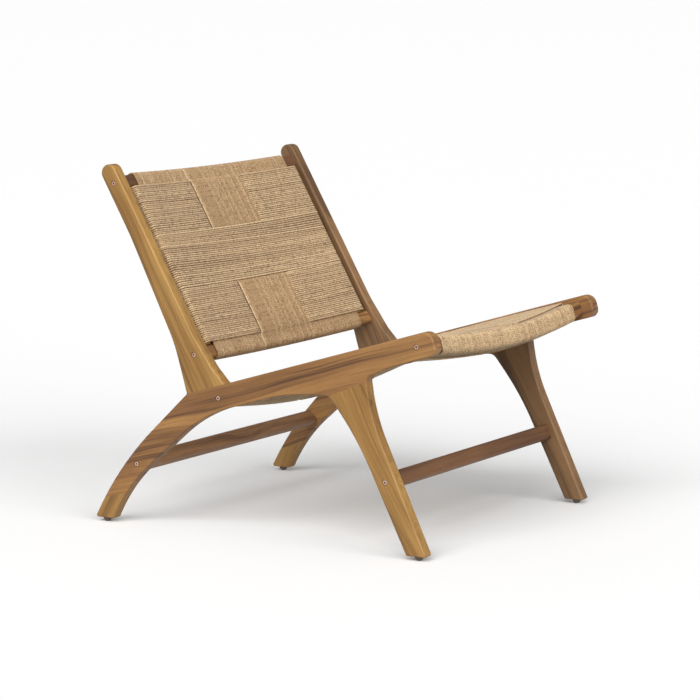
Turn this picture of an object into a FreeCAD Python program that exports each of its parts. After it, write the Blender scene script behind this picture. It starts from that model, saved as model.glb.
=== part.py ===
import FreeCAD, Part

# Low lounge chair: two flat side frames joined by four curved rails and two stretchers,
# with a seat and a back woven from cord.  The chair faces -Y, Z is up, and the origin lies on
# the floor under the middle of the chair.  "Right" is the sitter's right, the -X side.
# Each side frame is drawn as one outline, eased along its edges and cut at its glue lines into
# the side beam, the toe block, the front leg and the back post.

import math
import os

import Sketcher

os.makedirs("parts", exist_ok=True)
doc = FreeCAD.newDocument("lounge_chair")
sheet = doc.addObject("Spreadsheet::Sheet", "Dims")

DIMENSIONS = [
    ("overall_width", 650, "outside of one side frame to the outside of the other"),
    ("member_thickness", 25, "thickness of the side frame boards"),
    ("edge_ease", 3, "rounding along the board edges"),
    ("corner_ease", 4, "rounding of the small corners of the outline"),
    ("glide_height", 8, "floor to the underside of the feet"),
    # Seat line: the straight top edge of the side beam.
    ("seat_slope", 16.65, "degrees, rising to the front"),
    ("seat_line_height", 312, "height of the seat line above the floor at the datum"),
    ("datum_back", 0.44, "datum behind the middle of the chair"),
    ("beam_depth", 45.5, "side beam, square to the seat line"),
    ("nose_reach", 380, "datum to the nose, along the seat line"),
    ("nose_top_radius", 20, ""),
    ("nose_under_radius", 15, ""),
    # Back post, in a frame that leans back from the seat line.
    ("recline", 30, "degrees from vertical of the front of the post"),
    ("post_set_back", 96.8, "datum to the front of the post, along the seat line"),
    ("post_length", 471.5, "seat line to the top of the post"),
    ("post_top_width", 33, ""),
    ("post_top_radius", 16.4, ""),
    ("post_waist_width", 46, ""),
    ("post_taper_start", 330, "seat line to the start of the taper"),
    ("post_waist_height", 110, "seat line to the waist"),
    ("post_foot_length", 70.7, "post front to post back, along the seat line"),
    ("post_flare", 17, "flare in front of the post, along the seat line"),
    ("post_flare_width", 7, "width of the flare at its knee"),
    ("post_flare_knee", 35, "height of the flare's knee"),
    ("post_bend_radius", 300, ""),
    ("post_flare_radius", 90, ""),
    # Rear leg, part of the side beam.  Reaches are from the datum, heights from the floor.
    ("rear_foot_reach", 375, ""),
    ("rear_foot_width", 41.8, ""),
    ("rear_knee_reach", 321.3, ""),
    ("rear_knee_height", 111, ""),
    ("rear_knee_radius", 690, ""),
    ("rear_hollow_reach", 300.2, ""),
    ("rear_hollow_height", 74, ""),
    ("rear_hollow_radius", 340, ""),
    ("waist_reach", 143.8, "where the underside turns down into the rear leg"),
    ("waist_radius", 300, ""),
    ("toe_line_drop", 152, "glue line of the toe block below the seat line"),
    # Front leg.
    ("front_foot_reach", 356.6, ""),
    ("front_foot_width", 41.6, ""),
    ("calf_reach", 213.5, ""),
    ("calf_height", 208.8, ""),
    ("calf_radius", 560, ""),
    ("shin_reach", 241.5, ""),
    ("shin_height", 253.2, ""),
    ("shin_radius", 330, ""),
    ("belly_reach", 45, "where the underside starts to swell towards the front leg"),
    ("belly_radius", 340, ""),
    ("root_reach", 138, "back of the front leg at its glue line"),
    ("root_drop", 23.5, "below the underside of the beam"),
    ("root_radius", 18, ""),
    ("root_line_tilt", 5.7, "degrees between the leg's glue line and the seat line"),
    ("crotch_reach", 224, "front of the front leg at the beam"),
    ("crotch_drop", 7, "below the underside of the beam"),
    ("crotch_radius", 14, ""),
    ("chin_reach", 290, ""),
    ("chin_radius", 300, ""),
    # Rails and stretchers.
    ("back_rail_height", 25.6, "along the post"),
    ("back_rail_thickness", 18.6, ""),
    ("back_rail_bow", 12, "backward bow at mid width"),
    ("back_rail_setback", 17, "post front to the middle of the rail"),
    ("low_back_rail_up", 73.2, "seat line to the lower back rail, along the post"),
    ("top_rail_below_top", 38.2, "top of the post to the top rail"),
    ("seat_rail_height", 27.6, "square to the seat line"),
    ("seat_rail_thickness", 26.6, "along the seat line"),
    ("seat_rail_dip", 21, "downward bow at mid width"),
    ("seat_rail_drop", 22.5, "seat line to the middle of the rail's end"),
    ("front_rail_reach", 342.5, ""),
    ("rear_rail_set_back", 100.9, ""),
    ("rail_rounding", 6, ""),
    ("stretcher_width", 30, ""),
    ("stretcher_thickness", 20, ""),
    ("stretcher_rounding", 5, ""),
    ("front_stretcher_reach", 270.2, ""),
    ("front_stretcher_height", 137.6, ""),
    ("front_stretcher_lean", 26, "degrees from vertical, leaning to the back"),
    ("rear_stretcher_reach", 277.6, ""),
    ("rear_stretcher_height", 119.8, ""),
    ("rear_stretcher_lean", 44, "degrees from vertical, leaning to the front"),
    # Stiles and weave.
    ("stile_width", 19, ""),
    ("stile_inset", 18, "inside of the side frame to the stile"),
    ("back_stile_thickness", 18, ""),
    ("seat_stile_thickness", 24, ""),
    ("stile_rounding", 4, ""),
    ("cord_diameter", 3.9, ""),
    ("cord_clearance", 0.2, ""),
    ("warp_inset", 2, "stile to the edge of the warp"),
    ("warp_bands", 8, "bands of warp side by side"),
    ("band_gap", 0.3, "between the bands"),
    # Fasteners.
    ("bolt_diameter", 6, ""),
    ("bolt_length", 38, "under the head"),
    ("bolt_head_diameter", 8.8, ""),
    ("bolt_head_height", 3.2, ""),
    ("bolt_head_chamfer", 0.6, ""),
    ("bolt_socket", 4, "hexagon across flats"),
    ("bolt_socket_depth", 2, ""),
    ("counterbore_diameter", 10, ""),
    ("counterbore_depth", 4.4, ""),
    ("insert_diameter", 9, ""),
    ("insert_length", 18, ""),
    ("pin_diameter", 5, "locating pins beside the bolts"),
    ("pin_length", 24, ""),
    ("pin_offset", 8.5, "bolt to locating pin"),
    ("dowel_diameter", 8, ""),
    ("dowel_length", 44, "post and front leg joints"),
    ("toe_dowel_length", 24, ""),
    ("toe_dowel_reach", 389.5, "datum to the toe's dowel, along the seat line"),
    ("stile_dowel_diameter", 6, ""),
    ("stile_dowel_length", 20, ""),
    ("drill_clearance", 0.2, "around every pin, dowel, bolt and insert"),
    ("glide_diameter", 16, ""),
    ("glide_tip_diameter", 9, ""),
    ("glide_taper_height", 4.8, "floor to the top of the taper"),
    ("glide_nail_diameter", 2.4, ""),
    ("glide_nail_length", 16, "into the foot"),
]

for row, (alias, value, note) in enumerate(DIMENSIONS, start=1):
    sheet.set("A%d" % row, alias)
    sheet.set("B%d" % row, str(value))
    sheet.setAlias("B%d" % row, alias)
    sheet.set("C%d" % row, note)
doc.recompute()

Vector = FreeCAD.Vector
X_AXIS = Vector(1, 0, 0)
NO_TURN = FreeCAD.Rotation()
LINE_SHARE = 0.985  # of a side of the outline that its two roundings may use up
LEVEL_TOLERANCE = 0.01  # two levels this close are the same level
PARALLEL_COSINE = 0.999  # two directions with this cosine or more are parallel
DOWEL_SHARES = (0.3, 0.72)  # of a glue joint's length, from its end to each dowel
nodes = {}


# ---- values and frames -------------------------------------------------------------------

def evaluate(expression):
    """Number that an expression of sheet cells gives."""
    return float(sheet.evalExpression(expression))


def dim(alias):
    """Value of one cell of the sheet."""
    return float(sheet.get(alias))


def placement(x, back, up, turn):
    """Place at (x, back, up), turned about X so that local Y tips down by turn degrees."""
    return FreeCAD.Placement(Vector(x, back, up), FreeCAD.Rotation(X_AXIS, -turn))


class Frame:
    """Flat frame in the side view: where a point a back and b up of its origin lies."""

    def __init__(self, back, up, turn):
        self.back = back
        self.up = up
        self.turn = turn

    def point(self, along, above):
        """Expressions for the world Y and Z of a local point, given as expressions."""
        cosine = "cos(%s)" % self.turn
        sine = "sin(%s)" % self.turn
        y = "%s + (%s) * %s + (%s) * %s" % (self.back, along, cosine, above, sine)
        z = "%s - (%s) * %s + (%s) * %s" % (self.up, along, sine, above, cosine)
        return y, z

    def place(self, along, above, x=0.0, extra_turn=0.0):
        """Placement at a local point, turned with the frame."""
        y, z = self.point(along, above)
        return placement(x, evaluate(y), evaluate(z), evaluate(self.turn) + extra_turn)


floor_frame = Frame("Dims.datum_back", "0", "0")
seat_frame = Frame("Dims.datum_back", "Dims.seat_line_height", "Dims.seat_slope")
post_y, post_z = seat_frame.point("Dims.post_set_back", "0")
back_frame = Frame("(%s)" % post_y, "(%s)" % post_z, "Dims.recline")

half_inside = "(Dims.overall_width / 2 - Dims.member_thickness)"
outer_x = dim("overall_width") / 2
inner_x = outer_x - dim("member_thickness")
board_x = -(outer_x + inner_x) / 2


# ---- building blocks ---------------------------------------------------------------------

def bind(item, **expressions):
    """Bind properties of an object to expressions of the sheet."""
    for name, expression in expressions.items():
        item.setExpression(name, expression)
    return item


def new_body(label):
    """Empty body with its own label."""
    body = doc.addObject("PartDesign::Body", label)
    body.Label = label
    return body


def new_sketch(body, role, name):
    """Sketch on one of the body's own origin planes."""
    plane = [item for item in body.Origin.OriginFeatures if item.Role == role][0]
    sketch = body.newObject("Sketcher::SketchObject", name)
    sketch.AttachmentSupport = [(plane, "")]
    sketch.MapMode = "FlatFace"
    return sketch


def fix(sketch, kind, geometry, point, expression):
    """Pin one coordinate of a point to an expression."""
    index = sketch.addConstraint(Sketcher.Constraint(kind, geometry, point, evaluate(expression)))
    sketch.setExpression("Constraints[%d]" % index, expression)


def draw_outline(sketch, corners):
    """Closed outline of straight lines through corners given as pairs of expressions."""
    spots = [Vector(evaluate(y), evaluate(z), 0) for y, z in corners]
    count = len(spots)
    for index in range(count):
        sketch.addGeometry(Part.LineSegment(spots[index], spots[(index + 1) % count]))
    for index in range(count):
        following = (index + 1) % count
        sketch.addConstraint(Sketcher.Constraint("Coincident", index, 2, following, 1))
    for index, (y, z) in enumerate(corners):
        fix(sketch, "DistanceX", index, 1, y)
        fix(sketch, "DistanceY", index, 1, z)


def pad(body, sketch, length, centred=True):
    """Pad of a sketch, with its length bound to an expression."""
    feature = body.newObject("PartDesign::Pad", body.Name + "_pad")
    feature.Profile = sketch
    feature.Midplane = centred
    bind(feature, Length=length)
    doc.recompute()
    return feature


def edge_names(shape, wanted):
    """Names of the edges that a test accepts."""
    return ["Edge%d" % (number + 1) for number, edge in enumerate(shape.Edges) if wanted(edge)]


def fillet(body, wanted, radius):
    """Fillet on the edges of the body's tip that a test accepts."""
    tip = body.Tip
    names = edge_names(tip.Shape, wanted)
    feature = body.newObject("PartDesign::Fillet", body.Name + "_fillet")
    feature.Base = (tip, names)
    bind(feature, Radius=radius)
    doc.recompute()
    return feature


def runs_along(axis):
    """Test for a straight edge along one axis of the body."""
    def wanted(edge):
        if len(edge.Vertexes) != 2 or not isinstance(edge.Curve, Part.Line):
            return False
        return abs(edge.Curve.Direction.dot(axis)) > PARALLEL_COSINE
    return wanted


def box(label, length, width, height, place):
    """Box centred on a place, with its sides along the place's own axes."""
    item = doc.addObject("Part::Box", label)
    bind(item, Length=length, Width=width, Height=height)
    centre = Vector(evaluate(length) / -2, evaluate(width) / -2, evaluate(height) / -2)
    item.Placement = place.multiply(FreeCAD.Placement(centre, NO_TURN))
    return item


def rod(label, radius, length, place):
    """Cylinder that starts at a place and runs along the place's Z."""
    item = doc.addObject("Part::Cylinder", label)
    bind(item, Radius=radius, Height=length)
    item.Placement = place
    return item


def cut(label, base, tools):
    """Base with every tool taken away."""
    tool = tools[0]
    if len(tools) > 1:
        tool = doc.addObject("Part::MultiFuse", label + "_tools")
        tool.Shapes = tools
    item = doc.addObject("Part::Cut", label)
    item.Base = base
    item.Tool = tool
    return item


def common(label, base, tool):
    """What two shapes share."""
    item = doc.addObject("Part::Common", label)
    item.Base = base
    item.Tool = tool
    return item


def group(label, items):
    """Several separate solids in one node."""
    item = doc.addObject("Part::Compound", label)
    item.Links = items
    return item


def node(label, item):
    """Register a finished sub-part under the name of its file."""
    item.Label = label
    nodes[label] = item
    return item


def mirrored_pair(name, item):
    """Sub-part of the right side frame and its mirror image on the left."""
    node("right_" + name, item)
    mirror = doc.addObject("Part::Mirroring", "left_" + name)
    mirror.Source = item
    mirror.Normal = X_AXIS
    mirror.Base = Vector(0, 0, 0)
    node("left_" + name, mirror)


def copies(label, master, places):
    """Links to one master, each at its own place."""
    links = []
    for number, place in enumerate(places, start=1):
        link = doc.addObject("App::Link", "%s_%d" % (label, number))
        link.LinkedObject = master
        link.LinkPlacement = place
        links.append(link)
    return links


# ---- side frame outline ------------------------------------------------------------------

def side_outline():
    """Corners of the side frame, from the nose round the post and both legs.

    Each corner is its pair of expressions, and the expression of its rounding.
    """
    foot = "Dims.glide_height"
    heel = "Dims.post_set_back + Dims.post_foot_length"
    under = "-Dims.beam_depth"
    small = "Dims.corner_ease"
    back, seat, ground = back_frame.point, seat_frame.point, floor_frame.point
    return [
        (seat("-Dims.nose_reach", "0"), "Dims.nose_top_radius"),
        (seat("Dims.post_set_back - Dims.post_flare", "0"), small),
        (back("-Dims.post_flare_width", "Dims.post_flare_knee"), "Dims.post_flare_radius"),
        (back("0", "Dims.post_waist_height"), "Dims.post_bend_radius"),
        (back("0", "Dims.post_length"), "Dims.post_top_radius"),
        (back("Dims.post_top_width", "Dims.post_length"), "Dims.post_top_radius"),
        (back("Dims.post_top_width", "Dims.post_taper_start"), "2 * Dims.post_bend_radius"),
        (back("Dims.post_waist_width", "Dims.post_waist_height"), "Dims.post_bend_radius"),
        (seat(heel, "0"), small),
        (ground("Dims.rear_knee_reach", "Dims.rear_knee_height"), "Dims.rear_knee_radius"),
        (ground("Dims.rear_foot_reach", foot), small),
        (ground("Dims.rear_foot_reach - Dims.rear_foot_width", foot), small),
        (ground("Dims.rear_hollow_reach", "Dims.rear_hollow_height"), "Dims.rear_hollow_radius"),
        (seat("Dims.waist_reach", under), "Dims.waist_radius"),
        (seat("-Dims.belly_reach", under), "Dims.belly_radius"),
        (seat("-Dims.root_reach", under + " - Dims.root_drop"), "Dims.root_radius"),
        (ground("-Dims.calf_reach", "Dims.calf_height"), "Dims.calf_radius"),
        (ground("Dims.front_foot_width - Dims.front_foot_reach", foot), small),
        (ground("-Dims.front_foot_reach", foot), small),
        (ground("-Dims.shin_reach", "Dims.shin_height"), "Dims.shin_radius"),
        (seat("-Dims.crotch_reach", under + " - Dims.crotch_drop"), "Dims.crotch_radius"),
        (seat("-Dims.chin_reach", under), "Dims.chin_radius"),
        (seat("-Dims.nose_reach", under), "Dims.nose_under_radius"),
    ]


def rounded_corners(outline):
    """Corner, turn and radius of each rounding, small enough for the lines beside it."""
    spots = [Vector(evaluate(y), evaluate(z), 0) for (y, z), radius in outline]
    radii = [evaluate(radius) for corner, radius in outline]
    count = len(spots)
    sides = [spots[(index + 1) % count] - spots[index] for index in range(count)]
    turns = [sides[index - 1].getAngle(sides[index]) for index in range(count)]
    runs = [radius * math.tan(turn / 2) for radius, turn in zip(radii, turns)]
    rounded = []
    for index in range(count):
        share = 1.0
        for neighbour, side in ((index - 1, index - 1), ((index + 1) % count, index)):
            room = LINE_SHARE * sides[side].Length / (runs[index] + runs[neighbour])
            share = min(share, room)
        left = (sides[index - 1].cross(sides[index])).z > 0
        rounded.append((spots[index], sides[index - 1], sides[index], left, radii[index] * share))
    return rounded


def draw_rounded_outline(sketch, outline):
    """Closed outline of lines joined by tangent arcs, tied to its corners and radii."""
    rounded = rounded_corners(outline)
    count = len(rounded)
    ends, arcs = [], []
    for spot, before, after, left, radius in rounded:
        run = radius * math.tan(before.getAngle(after) / 2)
        start = spot - before.normalize() * run
        end = spot + after.normalize() * run
        centre = start + Vector(-before.y, before.x, 0) * (radius if left else -radius)
        first, last = (start, end) if left else (end, start)
        angles = [math.atan2(point.y - centre.y, point.x - centre.x) for point in (first, last)]
        arcs.append(Part.ArcOfCircle(Part.Circle(centre, Vector(0, 0, 1), radius), *angles))
        ends.append((start, end))
    for index in range(count):
        sketch.addGeometry(Part.LineSegment(ends[index][1], ends[(index + 1) % count][0]))
    for arc in arcs:
        sketch.addGeometry(arc)
    for corner in rounded:
        sketch.addGeometry(Part.Point(corner[0]), True)
    for index, ((y, z), size) in enumerate(outline):
        left, radius = rounded[index][3:]
        line_in, arc, corner = (index - 1) % count, count + index, 2 * count + index
        start, end = (1, 2) if left else (2, 1)
        sketch.addConstraint(Sketcher.Constraint("Tangent", line_in, 2, arc, start))
        sketch.addConstraint(Sketcher.Constraint("Tangent", arc, end, index, 1))
        sketch.addConstraint(Sketcher.Constraint("PointOnObject", corner, 1, line_in))
        sketch.addConstraint(Sketcher.Constraint("PointOnObject", corner, 1, index))
        fix(sketch, "DistanceX", corner, 1, y)
        fix(sketch, "DistanceY", corner, 1, z)
        number = sketch.addConstraint(Sketcher.Constraint("Radius", arc, radius))
        sketch.setExpression("Constraints[%d]" % number, "min(%s; %.4f)" % (size, radius))


def build_side_blank():
    """One whole side frame, rounded at every corner and eased along its edges."""
    body = new_body("side_blank")
    sketch = new_sketch(body, "YZ_Plane", "side_outline")
    draw_rounded_outline(sketch, side_outline())
    pad(body, sketch, "Dims.member_thickness")
    half = dim("member_thickness") / 2

    def on_faces(edge):
        return all(abs(abs(vertex.Point.x) - half) < LEVEL_TOLERANCE
                   for vertex in edge.Vertexes)

    fillet(body, on_faces, "Dims.edge_ease")
    body.Placement = FreeCAD.Placement(Vector(board_x, 0, 0), NO_TURN)
    return body


def split_side(blank):
    """Cut the side frame at its glue lines."""
    span = "2 * Dims.nose_reach + Dims.rear_foot_reach"
    thick = "2 * Dims.member_thickness"
    reach = evaluate(span)
    above_middle = seat_frame.place("0", "(%s) / 2" % span, board_x)
    above = box("above_seat_line", thick, span, span, above_middle)
    toe_centre = "Dims.waist_reach + (%s) / 2" % span
    toe_below = "-Dims.toe_line_drop - (%s) / 2" % span
    toe = box("toe_side", thick, span, span, seat_frame.place(toe_centre, toe_below, board_x))
    root = seat_frame.place("-Dims.root_reach", "-Dims.beam_depth - Dims.root_drop", board_x,
                            dim("root_line_tilt"))
    behind = dim("root_radius") / 4
    below_root = FreeCAD.Placement(Vector(0, behind - reach / 2, -reach / 2), NO_TURN)
    leg = box("leg_side", thick, span, span, root.multiply(below_root))
    beam = cut("side_beam_board", blank, [above, toe, leg])
    return {
        "back_post": common("back_post_board", blank, above),
        "rear_toe": common("rear_toe_board", blank, toe),
        "front_leg": common("front_leg_board", blank, leg),
        "side_beam": beam,
    }


# ---- curved rails, weave sleeves and stretchers ------------------------------------------

def circle_radius(bow):
    """Radius of the inner face of a rail that bows by this much over the inside width."""
    return "((%s * %s + %s * %s) / (2 * %s))" % (half_inside, half_inside, bow, bow, bow)


def curved_bar(label, near, far, half, depth, place, rounding=None):
    """Bar curved about its place: two arcs about the origin, cut square at its ends."""
    body = new_body(label)
    sketch = new_sketch(body, "XY_Plane", label + "_arcs")
    half_value = evaluate(half)
    centre = Vector(0, 0, 0)
    ends = []
    for radius in (near, far):
        size = evaluate(radius)
        angle = math.asin(half_value / size)
        circle = Part.Circle(centre, Vector(0, 0, 1), size)
        low, high = -math.pi / 2 - angle, -math.pi / 2 + angle
        sketch.addGeometry(Part.ArcOfCircle(circle, low, high))
        height = -size * math.cos(angle)
        ends.append((Vector(-half_value, height, 0), Vector(half_value, height, 0)))
    sketch.addGeometry(Part.LineSegment(ends[0][0], ends[1][0]))
    sketch.addGeometry(Part.LineSegment(ends[0][1], ends[1][1]))
    for line, arc_end in ((2, 1), (3, 2)):
        sketch.addConstraint(Sketcher.Constraint("Coincident", line, 1, 0, arc_end))
        sketch.addConstraint(Sketcher.Constraint("Coincident", line, 2, 1, arc_end))
        sketch.addConstraint(Sketcher.Constraint("Vertical", line))
    for arc, radius in enumerate((near, far)):
        sketch.addConstraint(Sketcher.Constraint("Coincident", arc, 3, -1, 1))
        index = sketch.addConstraint(Sketcher.Constraint("Radius", arc, evaluate(radius)))
        sketch.setExpression("Constraints[%d]" % index, radius)
    fix(sketch, "DistanceX", 2, 1, "-" + half)
    fix(sketch, "DistanceX", 3, 1, half)
    pad(body, sketch, depth)
    if rounding:
        level = evaluate(depth) / 2

        def lengthwise(edge):
            flat = all(abs(abs(vertex.Point.z) - level) < LEVEL_TOLERANCE
                       for vertex in edge.Vertexes)
            return flat and isinstance(edge.Curve, Part.Circle)

        fillet(body, lengthwise, rounding)
    body.Placement = place
    return body


class Panel:
    """Woven seat or back: two curved rails, two stiles, and the warp and weft round them."""

    def __init__(self, name, frame, is_seat):
        self.name = name
        self.frame = frame
        self.is_seat = is_seat
        self.stile_thickness = "Dims.%s_stile_thickness" % name
        if is_seat:
            self.rails = {"rear_seat_rail": "Dims.rear_rail_set_back",
                          "front_seat_rail": "-Dims.front_rail_reach"}
            self.thickness = "Dims.seat_rail_height"
            self.depth = "Dims.seat_rail_thickness"
            self.bow = "Dims.seat_rail_dip"
            self.level = "-Dims.seat_rail_drop"
        else:
            top = "(Dims.post_length - Dims.top_rail_below_top)"
            self.rails = {"lower_back_rail": "Dims.low_back_rail_up", "top_back_rail": top}
            self.thickness = "Dims.back_rail_thickness"
            self.depth = "Dims.back_rail_height"
            self.bow = "Dims.back_rail_bow"
            self.level = "-Dims.back_rail_setback"
        self.radius = circle_radius(self.bow)
        self.stile_x = "(Dims.stile_inset + Dims.stile_width / 2 - %s)" % half_inside
        self.stile_out = "%s - %s" % (self.level, self.bow_at(self.stile_x))

    def place(self, along, out, x="0"):
        """Place at a distance along the panel and out of it, towards the sitter.

        Local X is the chair's X, local Y points at the sitter and local Z runs along the panel.
        """
        if self.is_seat:
            frame_place = self.frame.place(along, out)
            turn = FreeCAD.Rotation(X_AXIS, 90)
        else:
            frame_place = self.frame.place("-(%s)" % out, along)
            turn = FreeCAD.Rotation(X_AXIS, 180)
        shift = FreeCAD.Placement(Vector(evaluate(x), 0, 0), turn)
        return frame_place.multiply(shift)

    def centre_place(self, along):
        """Place of the centre of the rails' curve."""
        face = "(%s + %s / 2)" % (self.level, self.thickness)
        return self.place(along, "%s - %s + %s" % (face, self.bow, self.radius))

    def bow_at(self, x):
        """How far the rails have bowed at a distance x from the middle, as an expression."""
        near = "sqrt(%s * %s - (%s) * (%s))" % (self.radius, self.radius, x, x)
        ends = "sqrt(%s * %s - %s * %s)" % (self.radius, self.radius, half_inside, half_inside)
        return "(%s - %s)" % (near, ends)

    def build_rails(self):
        """Both curved rails."""
        far = "%s + %s" % (self.radius, self.thickness)
        return {name: curved_bar(name + "_bar", self.radius, far, half_inside, self.depth,
                                 self.centre_place(along), "Dims.rail_rounding")
                for name, along in self.rails.items()}

    def between(self):
        """Middle of the space between the rails, and its length."""
        first, second = self.rails.values()
        middle = "((%s + (%s)) / 2)" % (first, second)
        clear = "(abs(%s - (%s)) - %s)" % (second, first, self.depth)
        return middle, clear

    def build_stile(self):
        """Right-hand stile between the rails."""
        middle, clear = self.between()
        body = new_body(self.name + "_stile_bar")
        sketch = new_sketch(body, "XY_Plane", self.name + "_stile_section")
        wide, thick = "Dims.stile_width / 2", self.stile_thickness + " / 2"
        draw_outline(sketch, [("-" + wide, "-" + thick), (wide, "-" + thick), (wide, thick),
                              ("-" + wide, thick)])
        pad(body, sketch, clear)
        fillet(body, runs_along(Vector(0, 0, 1)), "Dims.stile_rounding")
        body.Placement = self.place(middle, self.stile_out, self.stile_x)
        return body

    def stile_dowels(self):
        """Starts of the dowels at both ends of the right-hand stile, pointing along Z."""
        middle, clear = self.between()
        start = FreeCAD.Placement(Vector(0, 0, -dim("stile_dowel_length") / 2), NO_TURN)
        joints = ["%s - %s / 2" % (middle, clear), "%s + %s / 2" % (middle, clear)]
        return [self.place(joint, self.stile_out, self.stile_x).multiply(start)
                for joint in joints]

    def stile_joint_order(self):
        """Rails in the order of the stile's two joints."""
        first, second = self.rails
        values = {name: evaluate(along) for name, along in self.rails.items()}
        return sorted((first, second), key=values.get)

    def sleeve(self, label, layer, half, rounding, reach):
        """Closed loop of cord, one cord thick and a number of cords out from the rails.

        The loop runs round the panel where reach is "long", and round the stiles otherwise.
        """
        step = "(Dims.cord_diameter + Dims.cord_clearance)"
        gap = "(%d * %s + Dims.cord_clearance)" % (layer, step)
        skin = "(%s + Dims.cord_diameter)" % gap
        middle, clear = self.between()
        place = self.centre_place(middle)
        near, far = self.radius, "(%s + %s)" % (self.radius, self.thickness)
        if reach == "long":
            length = "%s + 2 * %s" % (clear, self.depth)
            sizes = [(half, length + " + 2 * " + skin), (half_inside, length + " + 2 * " + gap)]
        else:
            sizes = [(half + " + " + step, clear + " - 2 * " + step),
                     (half + " + Dims.cord_clearance", clear)]
        bars = []
        for part, offset, (half_width, length) in zip(("skin", "core"), (skin, gap), sizes):
            bars.append(curved_bar("%s_%s_%s" % (self.name, label, part),
                                   "%s - %s" % (near, offset), "%s + %s" % (far, offset),
                                   "(%s)" % half_width, length, place,
                                   rounding and "%s + %s" % (rounding, offset)))
        return cut("%s_%s_sleeve" % (self.name, label), bars[0], bars[1:])

    def build_warp(self):
        """Cords from rail to rail, round both rails, as closed bands side by side."""
        half = "%s - Dims.stile_inset - Dims.stile_width - Dims.warp_inset" % half_inside
        whole = self.sleeve("warp", 0, half, "Dims.rail_rounding", "long")
        middle, clear = self.between()
        reach = "2 * (%s)" % clear
        bands = int(dim("warp_bands"))
        slits = [box("%s_warp_slit_%d" % (self.name, number), "Dims.band_gap", reach, reach,
                     self.place(middle, "0", "2 * (%s) * (%d / Dims.warp_bands - 0.5)"
                                % (half, number)))
                 for number in range(1, bands)]
        return cut(self.name + "_warp_bands", whole, slits)

    def build_weft(self):
        """Cords from stile to stile, round both stiles, as one closed sleeve."""
        return self.sleeve("weft", 1, "%s - Dims.stile_inset" % half_inside, None, "wide")


def build_stretcher(label, reach, height, lean, long_side_along_leg):
    """Straight bar between the legs, with rounded edges."""
    body = new_body(label + "_bar")
    sketch = new_sketch(body, "YZ_Plane", label + "_section")
    sides = ["Dims.stretcher_thickness / 2", "Dims.stretcher_width / 2"]
    across, along = sides if long_side_along_leg else sides[::-1]
    draw_outline(sketch, [("-" + across, "-" + along), (across, "-" + along), (across, along),
                          ("-" + across, along)])
    pad(body, sketch, "2 * " + half_inside)
    fillet(body, runs_along(X_AXIS), "Dims.stretcher_rounding")
    body.Placement = floor_frame.place(reach, height, 0.0, lean)
    return body


# ---- fasteners ---------------------------------------------------------------------------

class Station:
    """End of a cross member on the right side frame: a bolt, its insert and a locating pin."""

    def __init__(self, member, board, frame, along, above, pin_turn=0.0):
        self.member = member
        self.board = board
        self.y, self.z = [evaluate(value) for value in frame.point(along, above)]
        self.pin_turn = math.radians(evaluate(frame.turn) + pin_turn)

    def place(self, x, offset=0.0):
        """Place on the station's axis, pointing inward along X."""
        y = self.y + offset * math.sin(self.pin_turn)
        z = self.z + offset * math.cos(self.pin_turn)
        return FreeCAD.Placement(Vector(x, y, z), FreeCAD.Rotation(Vector(0, 1, 0), 90))

    def bolt_place(self):
        """Underside of the bolt's head."""
        return self.place(dim("counterbore_depth") - outer_x)

    def insert_place(self):
        """Open end of the insert nut, flush with the end of the cross member."""
        return self.place(-inner_x)

    def pin_place(self):
        """Outer end of the locating pin."""
        return self.place(-inner_x - dim("pin_length") / 2, -dim("pin_offset"))

    def board_drills(self):
        """Holes in the side frame board: counterbore, bolt hole and pin hole."""
        label = self.member + "_board_"
        depth = dim("counterbore_depth")
        thick = "Dims.member_thickness"
        sunk = rod(label + "counterbore", "Dims.counterbore_diameter / 2",
                   "2 * Dims.counterbore_depth", self.place(-outer_x - depth))
        through = hole(label + "bolt", "Dims.bolt_diameter", thick, self.place(-outer_x))
        pin = hole(label + "pin", "Dims.pin_diameter", "Dims.pin_length", self.pin_place())
        return [sunk, through, pin]

    def member_drills(self):
        """Holes in the cross member's right-hand end: insert hole and pin hole."""
        label = self.member + "_end_"
        insert = hole(label + "insert", "Dims.insert_diameter", "Dims.insert_length",
                      self.insert_place())
        pin = hole(label + "pin", "Dims.pin_diameter", "Dims.pin_length", self.pin_place())
        return [insert, pin]


def hole(label, diameter, length, place):
    """Hole for a round piece, wider all round and longer at both ends by the clearance."""
    shift = FreeCAD.Placement(Vector(0, 0, -dim("drill_clearance")), NO_TURN)
    return rod(label, "%s / 2 + Dims.drill_clearance" % diameter,
               "%s + 2 * Dims.drill_clearance" % length, place.multiply(shift))


def build_bolt():
    """Master bolt: its head's underside is at the origin and the shank runs along Z."""
    shank = rod("bolt_shank", "Dims.bolt_diameter / 2", "Dims.bolt_length", FreeCAD.Placement())
    top = -dim("bolt_head_height")
    head = rod("bolt_head", "Dims.bolt_head_diameter / 2", "Dims.bolt_head_height",
               FreeCAD.Placement(Vector(0, 0, top), NO_TURN))
    doc.recompute()
    chamfered = doc.addObject("Part::Chamfer", "bolt_head_edge")
    rim = edge_names(head.Shape, lambda edge: abs(edge.BoundBox.ZMax - top) < LEVEL_TOLERANCE)
    size = dim("bolt_head_chamfer")
    chamfered.Base = head
    chamfered.Edges = [(int(name[len("Edge"):]), size, size) for name in rim]
    whole = doc.addObject("Part::Fuse", "bolt_whole")
    whole.Base = shank
    whole.Tool = chamfered
    socket = doc.addObject("Part::Prism", "bolt_socket_tool")
    socket.Polygon = 6
    bind(socket, Circumradius="Dims.bolt_socket / sqrt(3)", Height="2 * Dims.bolt_socket_depth")
    socket.Placement = FreeCAD.Placement(Vector(0, 0, top - dim("bolt_socket_depth")), NO_TURN)
    return cut("bolt_master", whole, [socket])


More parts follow.
